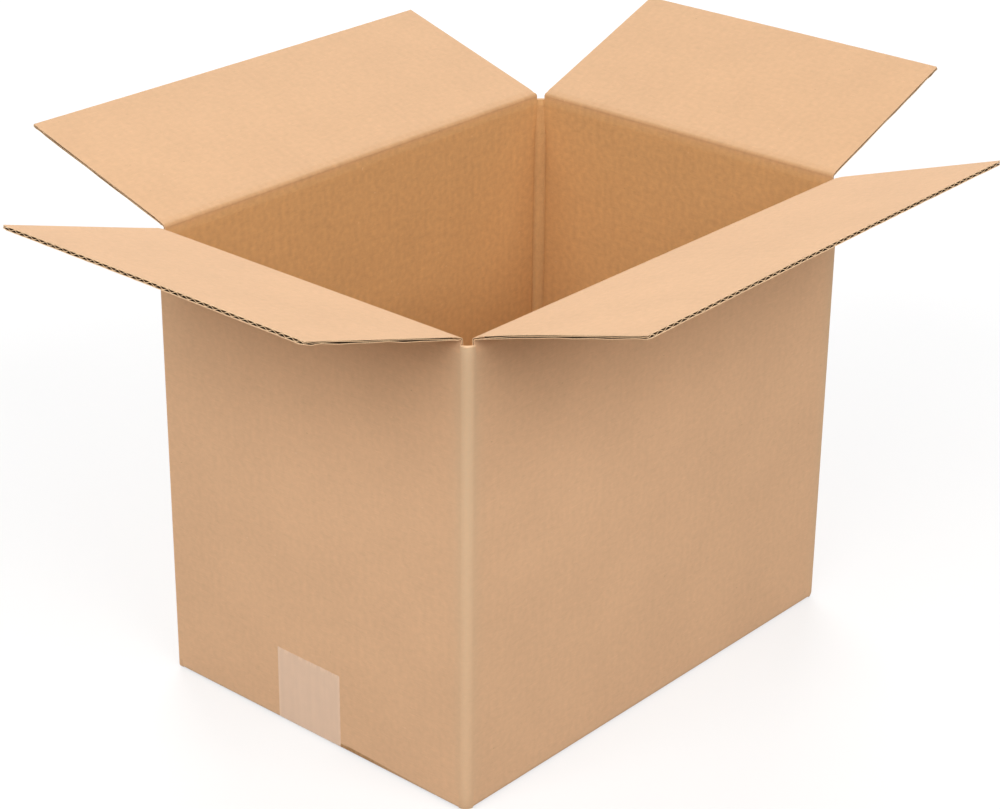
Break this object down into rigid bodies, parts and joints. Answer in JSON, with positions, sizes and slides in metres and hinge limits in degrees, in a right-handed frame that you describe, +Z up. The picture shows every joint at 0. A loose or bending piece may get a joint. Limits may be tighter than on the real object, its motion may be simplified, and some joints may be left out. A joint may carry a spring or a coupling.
{
  "type": "open cardboard box",
  "caption": "Slotted shipping box folded from one sheet of corrugated board, taped shut below, with hinged top flaps standing open.",
  "frame": {"origin": "middle of the base, on the underside of its tape and on the surface that the box stands on", "axes": "+X along the long walls, +Y along the short walls, +Z up out of the open top"},
  "size_m": [0.5279, 0.4379, 0.3131],
  "materials": {
    "kraft_board": "matte",
    "clear_tape": "gloss"
  },
  "bodies": {
    "box": {"box_body": "kraft_board", "bottom_tape": "clear_tape"},
    "flap_end_front": {"flap_end_front": "kraft_board"},
    "flap_side_front": {"flap_side_front": "kraft_board"},
    "flap_side_rear": {"flap_side_rear": "kraft_board"},
    "flap_end_rear": {"flap_end_rear": "kraft_board"}
  },
  "joints": [
    {"name": "end_front_crease", "type": "hinge", "parent": "box", "child": "flap_end_front", "pos_m": [-0.15855, 0, 0.27174], "axis": [0, -1, 0], "range_deg": [-163.5, 66.5]},
    {"name": "side_front_crease", "type": "hinge", "parent": "box", "child": "flap_side_front", "pos_m": [0, -0.11255, 0.27326], "axis": [1, 0, 0], "range_deg": [-161.2, 68.8]},
    {"name": "side_rear_crease", "type": "hinge", "parent": "box", "child": "flap_side_rear", "pos_m": [0, 0.11255, 0.27326], "axis": [-1, 0, 0], "range_deg": [-163.2, 66.8]},
    {"name": "end_rear_crease", "type": "hinge", "parent": "box", "child": "flap_end_rear", "pos_m": [0.15855, 0, 0.27174], "axis": [0, 1, 0], "range_deg": [-159.3, 70.7]}
  ]
}
